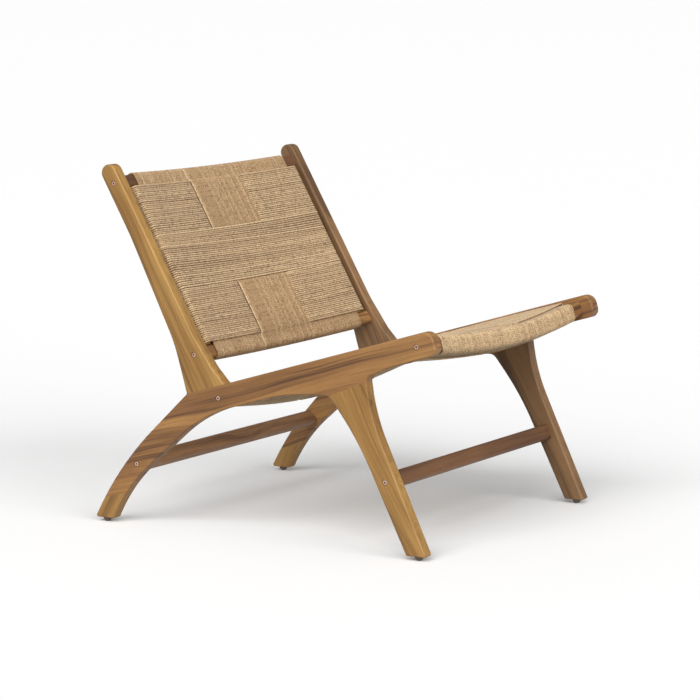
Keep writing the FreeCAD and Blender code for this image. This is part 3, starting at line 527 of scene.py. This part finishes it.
@dataclass
class Panel:
    """Woven seat or back between two curved rails and two hidden stiles."""

    name: str
    low_rail: str
    high_rail: str
    facing: Vector
    row_edges: tuple[float, float]
    seed: int
    crease: float = 0.0
    front_tension: float = 0.0
    rear_tension: float = 0.4
    squeeze: float = 0.0
    # The usual tones are painted light and shade on one cord: the back's warp is darker, the seat's
    # cords paler where they face the light.
    warp_tone_with_painted_light: float = 0.12
    weft_tone_with_painted_light: float = 0.62
    tension_reach: float = 95.0 * MM
    cord_radius: float = 1.92 * MM
    clearance: float = 0.2 * MM
    pitch: float = 4.05 * MM
    group_gap: float = 1.0 * MM
    warp_half: float = 261.0 * MM
    weft_half: float = 286.5 * MM
    column_half: float = 87.0 * MM
    column_gap: float = 3.6 * MM
    column_rise: float = 4.2 * MM
    row_step: float = 3.2 * MM
    rail_corner: float = 6.0 * MM
    edge_corner: float = 7.0 * MM
    weft_margin: float = 1.7 * MM

    END_FACE_DEPTH = 0.01 * MM
    TONE_SPREAD = 0.16
    # Tone of the painted highlight on the cords at the middle row's edges and on the column's first
    # cord on the -X side.
    PAINTED_HIGHLIGHT_TONE = 1.0
    EDGE_LIFT = 0.6 * MM
    WARP_UNEVEN = 0.12 * MM
    CORD_UNEVEN = 0.2 * MM
    WARP_RUN = 55.0 * MM
    RIDGE_SHARE = 0.28
    FIRST_GROUP = 6
    GROUP_SIZES = (4, 13)
    GROUP_GAPS = (0.3, 1.0)
    STEP_CHANGE = (0.96, 1.04)
    WEFT_RISE = 0.97
    SWING = (0.1, 0.3)
    WAVE = (120.0, 300.0)
    DROP_SHARE = 1.1
    SIDE_STEPS = 5
    INNER_SHARES = (-1.0, -0.72, -0.42, -0.14, 0.14, 0.42, 0.72, 1.0)
    FALL = ((0.5, 0.16), (0.0, 0.5), (-0.5, 0.84))

    def measure(self) -> None:
        """Takes the panel's directions and sizes from its two rails."""
        low_spots, high_spots = self.end_spots(self.low_rail), self.end_spots(self.high_rail)
        low, high = self.centre(low_spots), self.centre(high_spots)
        self.along = (high - low).normalized()
        self.out = self.along.cross(Vector((1.0, 0.0, 0.0))).normalized()
        if self.out.dot(self.facing) < 0:
            self.out.negate()
        self.middle = (low + high) / 2
        self.middle.x = 0.0
        depth = self.span(low_spots, self.along)
        self.thickness = self.span(low_spots, self.out)
        everything = [vertex.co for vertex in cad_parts[self.low_rail].data.vertices]
        bow = self.span(everything, self.out) - self.thickness
        self.half_width = max(spot.x for spot in everything)
        self.radius = (self.half_width ** 2 + bow ** 2) / (2 * bow)
        self.face = self.thickness / 2 - bow
        gap = (high - low).length
        self.end_bow = math.sqrt(self.radius ** 2 - self.half_width ** 2)
        self.rail_reach = (gap + depth) / 2
        self.clear_reach = (gap - depth) / 2
        self.weft_reach = self.clear_reach - self.weft_margin

    @staticmethod
    def end_spots(node: str) -> list[Vector]:
        """Corners of a rail's end face."""
        spots = [vertex.co.copy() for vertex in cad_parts[node].data.vertices]
        edge = max(spot.x for spot in spots) - Panel.END_FACE_DEPTH
        return [spot for spot in spots if spot.x > edge]

    @staticmethod
    def centre(spots: list[Vector]) -> Vector:
        """Middle of the box round some points."""
        low = Vector([min(spot[axis] for spot in spots) for axis in range(3)])
        high = Vector([max(spot[axis] for spot in spots) for axis in range(3)])
        return (low + high) / 2

    @staticmethod
    def span(spots: Iterable[Vector], direction: Vector) -> float:
        """How far some points spread along a direction."""
        reach = [spot.dot(direction) for spot in spots]
        return max(reach) - min(reach)

    def at(self, x: float, skin: float, along: float) -> Vector:
        """Point on the curved panel, which the taut weft pulls flatter away from the rails.

        Args:
            x: across the chair.
            skin: out of the rails' front face, negative behind it.
            along: along the panel from the middle between its rails.

        Returns:
            The point in the chair's frame.
        """
        out = self.face + self.radius - math.sqrt((self.radius - skin) ** 2 - x * x)
        inward = min(1.0, max(0.0, (self.clear_reach - abs(along)) / self.tension_reach))
        taut = inward * inward * (3.0 - 2.0 * inward)
        behind = min(1.0, max(0.0, -skin / self.thickness))
        tension = self.front_tension + (self.rear_tension - self.front_tension) * behind
        bow = math.sqrt(self.radius ** 2 - x * x) - self.end_bow
        out += taut * (tension * bow + self.squeeze * behind)
        spot = self.middle + self.along * along + self.out * out
        spot.x = x
        return spot

    # -- warp: cords from rail to rail --

    def warp_places(self) -> list[tuple[float, float]]:
        """Places of the warp cords, evenly spaced on the rails and parted beside the column.

        Returns:
            Each cord's place on the rails and its place in the weave.
        """
        column = round(2 * self.column_half / self.pitch)
        side = round((self.warp_half - self.column_half) / self.pitch)
        count = column + 2 * side
        step = 2 * self.warp_half / count
        edge = column * step / 2
        places = []
        for index in range(count):
            x = step * (index + 0.5) - self.warp_half
            if abs(x) < edge:
                woven = x * (edge - self.column_gap / 2) / edge
            else:
                outer = self.warp_half - edge
                pull = (self.warp_half - abs(x)) / outer
                woven = x + math.copysign(self.column_gap / 2 * pull, x)
            places.append((x, woven))
        return places

    def warp_route(self, x: float, woven: float, wander: random.Random) -> list[Vector]:
        """One closed cord round both rails; the column's cords pass over the outer rows.

        Args:
            x: the cord's place on the rails.
            woven: its place between them.
            wander: source of small differences.

        Returns:
            The cord's route.
        """
        skin = self.clearance + self.cord_radius
        corner = self.rail_corner + skin
        reach = self.rail_reach + skin
        front = skin + wander.uniform(-self.WARP_UNEVEN, self.WARP_UNEVEN)
        behind = -self.thickness - skin
        rise = self.column_rise if abs(x) < self.column_half + self.pitch / 4 else 0.0
        if rise:
            rise += wander.uniform(-self.CORD_UNEVEN, self.CORD_UNEVEN)
        low, high = self.row_edges
        outside, inside = self.weft_reach + self.row_step, self.weft_reach - self.row_step
        stops = [(-outside, x, 0.0), (-inside, woven, rise), (low - self.WARP_RUN, woven, rise),
                 (low - self.row_step, woven, rise), (low + self.row_step, woven, 0.0),
                 (low / 3, woven, 0.0), (high / 3, woven, 0.0),
                 (high - self.row_step, woven, 0.0), (high + self.row_step, woven, rise),
                 (high + self.WARP_RUN, woven, rise), (inside, woven, rise), (outside, x, 0.0)]
        loop = [(front + lift, along, place) for along, place, lift in stops]
        loop += [(*spot, x) for spot in self.arc(front - corner, reach - corner, corner, 90, 0)]
        loop += [(*spot, x) for spot in self.arc(behind + corner, reach - corner, corner, 0, -90)]
        loop += [(behind - lift, along, place) for along, place, lift in reversed(stops)]
        loop += [(*spot, x) for spot in self.arc(behind + corner, corner - reach, corner,
                                                 -90, -180)]
        loop += [(*spot, x) for spot in self.arc(front - corner, corner - reach, corner, 180, 90)]
        return [self.at(place, level, along) for level, along, place in loop]

    @staticmethod
    def arc(skin: float, along: float, radius: float, start: float, stop: float,
            steps: int = 5) -> list[tuple[float, float]]:
        """Points of an arc in the plane of a loop, by angles from the along direction."""
        spots = []
        for step in range(steps):
            angle = math.radians(start + (stop - start) * step / (steps - 1))
            spots.append((skin + radius * math.sin(angle), along + radius * math.cos(angle)))
        return spots

    # -- weft: cords from side to side --

    def weft_place(self, share: float, x: float) -> float:
        """Where a weft cord lies along the panel: evenly spread, but skewed along its crease."""
        place = self.weft_reach * (2 * share - 1)
        low_edge, high_edge = self.row_edges
        if self.crease and low_edge < place < high_edge:
            ridge = high_edge - self.RIDGE_SHARE * (high_edge - low_edge)
            lean = -self.crease * x / self.weft_half
            if place > ridge:
                place += lean * (high_edge - place) / (high_edge - ridge)
            else:
                place += lean * (place - low_edge) / (ridge - low_edge)
        return place

    def in_middle_row(self, place: float) -> bool:
        """Whether a weft cord passes over the middle column."""
        return self.row_edges[0] < place < self.row_edges[1]

    def weft_shares(self, wander: random.Random) -> list[float]:
        """Where the weft cords lie, from 0 to 1, packed in groups with a wider gap between."""
        steps = []
        left = self.FIRST_GROUP
        for _ in range(round(2 * self.weft_reach / self.pitch)):
            step = wander.uniform(*self.STEP_CHANGE) * self.pitch
            left -= 1
            if left == 0:
                step += wander.uniform(*self.GROUP_GAPS) * self.group_gap
                left = wander.randint(*self.GROUP_SIZES)
            steps.append(step)
        total = sum(steps)
        places = np.cumsum(steps) - np.array(steps) / 2
        return [float(place) / total for place in places]

    def weft_route(self, share: float, lift: float, wander: random.Random) -> list[Vector]:
        """One closed cord round both stiles, over or under the middle column.

        Args:
            share: where the cord lies along the panel, from 0 to 1.
            lift: how far it stands proud of its neighbours.
            wander: source of small differences.

        Returns:
            The cord's route.
        """
        base = self.weft_reach * (2 * share - 1)
        skin = self.clearance + self.cord_radius
        over = (skin + self.pitch * self.WEFT_RISE + lift
                + wander.uniform(-self.CORD_UNEVEN, self.CORD_UNEVEN))
        under = over if self.in_middle_row(base) else skin
        swing = wander.uniform(*self.SWING) * MM
        wave = wander.uniform(*self.WAVE) * MM
        phase = wander.uniform(0.0, 2 * math.pi)
        edge = self.column_half + self.column_gap / 2
        drop = self.DROP_SHARE * self.column_gap
        inner = [part * (edge - drop) for part in self.INNER_SHARES]
        corner = self.edge_corner
        end = self.weft_half - self.cord_radius
        side = [edge + drop + (end - corner - edge - drop) * step / self.SIDE_STEPS
                for step in range(self.SIDE_STEPS)]
        fall = [(edge + drop * part, amount) for part, amount in self.FALL]
        half = [(place, over) for place in reversed(side)]
        half += [(place, over + (under - over) * amount) for place, amount in fall]
        front = [(-place, level) for place, level in half]
        front += [(place, under) for place in inner]
        front += [(place, level) for place, level in reversed(half)]
        behind = [(x, -self.thickness - level) for x, level in reversed(front)]
        right_end = self.edge_arcs(end, corner, over)
        left_end = [(-x, level) for x, level in reversed(right_end)]
        loop = front + right_end + behind + left_end
        return [self.at(x, level, self.weft_place(share, x)
                        + swing * math.sin(2 * math.pi * x / wave + phase))
                for x, level in loop]

    def edge_arcs(self, end: float, corner: float, over: float) -> list[tuple[float, float]]:
        """Points of a weft cord's turn round the outside of a stile, from front to back."""
        behind = -self.thickness - over
        spots = self.arc(over - corner, end - corner, corner, 90, 0)
        spots += self.arc(behind + corner, end - corner, corner, 0, -90)
        return [(x, level) for level, x in spots]

    def build(self, cord: bpy.types.Material) -> list[bpy.types.Object]:
        """Weaves the panel.

        Args:
            cord: the cord's material.

        Returns:
            The warp and the weft.
        """
        self.measure()
        wander = random.Random(self.seed)
        warp = Strands(self.name + "_warp_weave", self.cord_radius, Vector((1.0, 0.0, 0.0)))
        for x, woven in self.warp_places():
            # The column's first warp cord on the -X side gets a painted highlight.
            beside_edge = -self.pitch < x + self.column_half < self.pitch / 2
            first = beside_edge and abs(woven) < self.column_half
            warp.add(self.warp_route(x, woven, wander),
                     self.PAINTED_HIGHLIGHT_TONE if first else self.tone(self.warp_tone_with_painted_light, wander))
        weft = Strands(self.name + "_weft_weave", self.cord_radius, self.along)
        for share in self.weft_shares(wander):
            base = self.weft_reach * (2 * share - 1)
            # Weft cords at the middle row's edges are lifted and get a painted highlight.
            to_edge = min(abs(base - edge) for edge in self.row_edges)
            first = self.in_middle_row(base) and to_edge < self.pitch
            weft.add(self.weft_route(share, self.EDGE_LIFT if first else 0.0, wander),
                     self.PAINTED_HIGHLIGHT_TONE if first else self.tone(self.weft_tone_with_painted_light, wander))
        pieces = []
        for strands, node in ((warp, "_warp_cord"), (weft, "_weft_cord")):
            piece = strands.mesh()
            piece.data.materials.append(cord)
            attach(piece, BODY)
            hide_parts(self.name + node)
            log.info("%s: %d cords, %d faces", piece.name, len(strands.routes),
                     len(piece.data.polygons))
            pieces.append(piece)
        return pieces

    @staticmethod
    def tone(usual: float, wander: random.Random) -> float:
        """Tone of one cord: most close to the usual one, a few paler or darker."""
        return min(1.0, max(0.0, wander.gauss(usual, Panel.TONE_SPREAD)))


# ---- wooden frame and hardware ------------------------------------------------------------

class Grain(Enum):
    """Turn that lays Y along a member's grain, for members of each direction."""

    SEAT_LINE = (math.radians(16.65), 0.0, 0.0)
    POST = (math.radians(-60.0), 0.0, 0.0)
    FRONT_LEG = (math.radians(-61.0), 0.0, 0.0)
    TOE = (math.radians(-118.0), 0.0, 0.0)
    ACROSS = (0.0, 0.0, math.radians(90.0))


@dataclass(frozen=True)
class Member:
    """Wooden member of the frame: its nodes, the way its grain runs and its tone."""

    label: str
    nodes: tuple[str, ...]
    grain: Grain
    tone: WoodTone


def both_sides(name: str) -> tuple[str, str]:
    """Names of a node on the right and on the left."""
    return "right_" + name, "left_" + name


@dataclass
class WoodenFrame:
    """Boards, rails, stretchers, stiles and dowels."""

    members: tuple[Member, ...] = (
        Member("side_beam", both_sides("side_beam"), Grain.SEAT_LINE, BROWN),
        Member("right_post", ("right_back_post",), Grain.POST, GOLDEN),
        # The left post and leg are darker than the right ones: partly painted shade.
        Member("left_post", ("left_back_post",), Grain.POST, UMBER_WITH_PAINTED_SHADE),
        Member("right_leg", ("right_front_leg",), Grain.FRONT_LEG, GOLDEN),
        Member("left_leg", ("left_front_leg",), Grain.FRONT_LEG, UMBER_WITH_PAINTED_SHADE),
        Member("rear_toe", both_sides("rear_toe"), Grain.TOE, HONEY),
        Member("top_rail", ("top_back_rail",), Grain.ACROSS, RUSSET),
        Member("lower_rail", ("lower_back_rail",), Grain.ACROSS, BROWN),
        Member("seat_rail", ("front_seat_rail", "rear_seat_rail"), Grain.ACROSS, BROWN),
        Member("front_stretcher", ("front_stretcher",), Grain.ACROSS, RUSSET),
        Member("rear_stretcher", ("rear_stretcher",), Grain.ACROSS, CHESTNUT),
        Member("back_stile", both_sides("back_stile"), Grain.POST, GOLDEN),
        Member("seat_stile", both_sides("seat_stile"), Grain.SEAT_LINE, GOLDEN),
        Member("dowel", both_sides("post_dowels") + both_sides("front_leg_dowels")
               + both_sides("rear_toe_dowels") + both_sides("back_stile_dowels")
               + both_sides("seat_stile_dowels"), Grain.POST, GOLDEN),
    )

    def dress(self) -> None:
        """Gives each member its own wood, different on each board."""
        seed = 0.0
        for member in self.members:
            for node in member.nodes:
                seed += 1.37
                wood = Wood(member.tone, member.grain.value, seed)
                dress(node, wood.material(node + "_wood"))
            log.info("%s: %d boards", member.label, len(member.nodes))


@dataclass
class Hardware:
    """Bolts, inserts, pins and glides."""

    copper: Metal = Metal(srgb(240, 210, 196), srgb(214, 172, 154), 0.35)
    brass: Metal = Metal(srgb(190, 160, 96), srgb(150, 124, 70), 0.35)
    steel: Metal = Metal(srgb(170, 170, 168), srgb(140, 138, 134), 0.35)
    glide: Moulded = Moulded()

    def dress(self) -> None:
        """Gives each kind of hardware its finish."""
        finishes = (("frame_bolts", self.copper), ("insert_nuts", self.brass),
                    ("locating_pins", self.steel), ("front_glide", self.glide),
                    ("rear_glide", self.glide))
        for name, finish in finishes:
            for node in both_sides(name):
                if isinstance(finish, Metal):
                    face = max(abs(vertex.co.x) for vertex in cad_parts[node].data.vertices)
                    dress(node, finish.material(node + "_finish", face))
                else:
                    dress(node, finish.material(node + "_finish"))
            log.info("%s: dressed on both sides", name)


def dress(node: str, material: bpy.types.Material) -> None:
    """Puts one material on a node of the frame."""
    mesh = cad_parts[node].data
    mesh.materials.clear()
    mesh.materials.append(material)


# ---- studio -------------------------------------------------------------------------------

@dataclass
class Studio:
    """Pale floor, soft lights and the camera."""

    camera_place: tuple[float, float, float] = (-4.6863, -2.85012, 1.1038)
    camera_heading: float = 58.69
    camera_dip: float = 8.14
    lens: float = 147.27
    sensor_width: float = 36.0
    floor_size: float = 160.0
    floor_colour: Colour = (0.99, 0.99, 0.99)
    sky: float = 0.28
    lamp_distance: float = 5.0

    def build(self) -> None:
        """Makes the floor, the lights and the camera."""
        self.build_floor()
        self.build_lights()
        self.build_camera()
        bpy.context.scene.view_settings.view_transform = "Standard"

    def build_floor(self) -> None:
        """Makes the floor as a wide flat sheet."""
        sheet = bmesh.new()
        bmesh.ops.create_grid(sheet, x_segments=2, y_segments=2, size=self.floor_size / 2)
        mesh = bpy.data.meshes.new("floor")
        sheet.to_mesh(mesh)
        sheet.free()
        shader = Shader("floor_paint")
        shader.set(Base_Color=(*self.floor_colour, 1.0), Roughness=0.9)
        mesh.materials.append(shader.material)
        floor = bpy.data.objects.new("floor", mesh)
        floor.visible_diffuse = False
        bpy.context.scene.collection.objects.link(floor)

    def build_lights(self) -> None:
        """Makes an even white surround and two broad soft lights."""
        world = bpy.data.worlds.new("surround")
        bpy.context.scene.world = world
        world.use_nodes = True
        background = world.node_tree.nodes["Background"]
        background.inputs["Color"].default_value = (1.0, 1.0, 1.0, 1.0)
        background.inputs["Strength"].default_value = self.sky
        self.soft_light("key", Vector((-1.0, -0.12, 0.75)), 55.0, 0.86)
        self.soft_light("front", Vector((-0.35, -1.0, 0.42)), 50.0, 0.66)

    def soft_light(self, name: str, towards: Vector, spread: float, strength: float) -> None:
        """Makes one distant soft light.

        Args:
            name: the light's name.
            towards: the way from the chair to the light.
            spread: how wide the light looks from the chair, in degrees.
            strength: how bright a white sheet that faces it looks.
        """
        light = bpy.data.lights.new(name, "SUN")
        light.angle = math.radians(spread)
        light.energy = strength * math.pi
        lamp = bpy.data.objects.new(name, light)
        lamp.location = towards.normalized() * self.lamp_distance
        lamp.rotation_euler = towards.to_track_quat("Z", "Y").to_euler()
        bpy.context.scene.collection.objects.link(lamp)

    def build_camera(self) -> None:
        """Makes the camera."""
        lens = bpy.data.cameras.new("camera")
        lens.lens = self.lens
        lens.sensor_width = self.sensor_width
        camera = bpy.data.objects.new("camera", lens)
        camera.location = self.camera_place
        camera.rotation_euler = (math.radians(90.0 - self.camera_dip), 0.0,
                                 math.radians(-self.camera_heading))
        bpy.context.scene.collection.objects.link(camera)
        bpy.context.scene.camera = camera


def main() -> None:
    """Builds the studio, dresses the frame and weaves the seat and the back."""
    Studio().build()
    WoodenFrame().dress()
    Hardware().dress()
    cord = PaperCord().material("paper_cord")
    back = Panel("back", "lower_back_rail", "top_back_rail", Vector((0.0, -1.0, 0.5)),
                 (-54.25 * MM, 58.75 * MM), seed=3, crease=5.5 * MM)
    # The seat's paler cords are painted light.
    seat = Panel("seat", "rear_seat_rail", "front_seat_rail", Vector((0.0, 0.0, 1.0)),
                 (-68.0 * MM, 68.0 * MM), seed=7, front_tension=0.25, rear_tension=0.95,
                 squeeze=5.0 * MM, warp_tone_with_painted_light=0.65, weft_tone_with_painted_light=0.95)
    for panel in (back, seat):
        panel.build(cord)


if __name__ == "__main__":
    main()
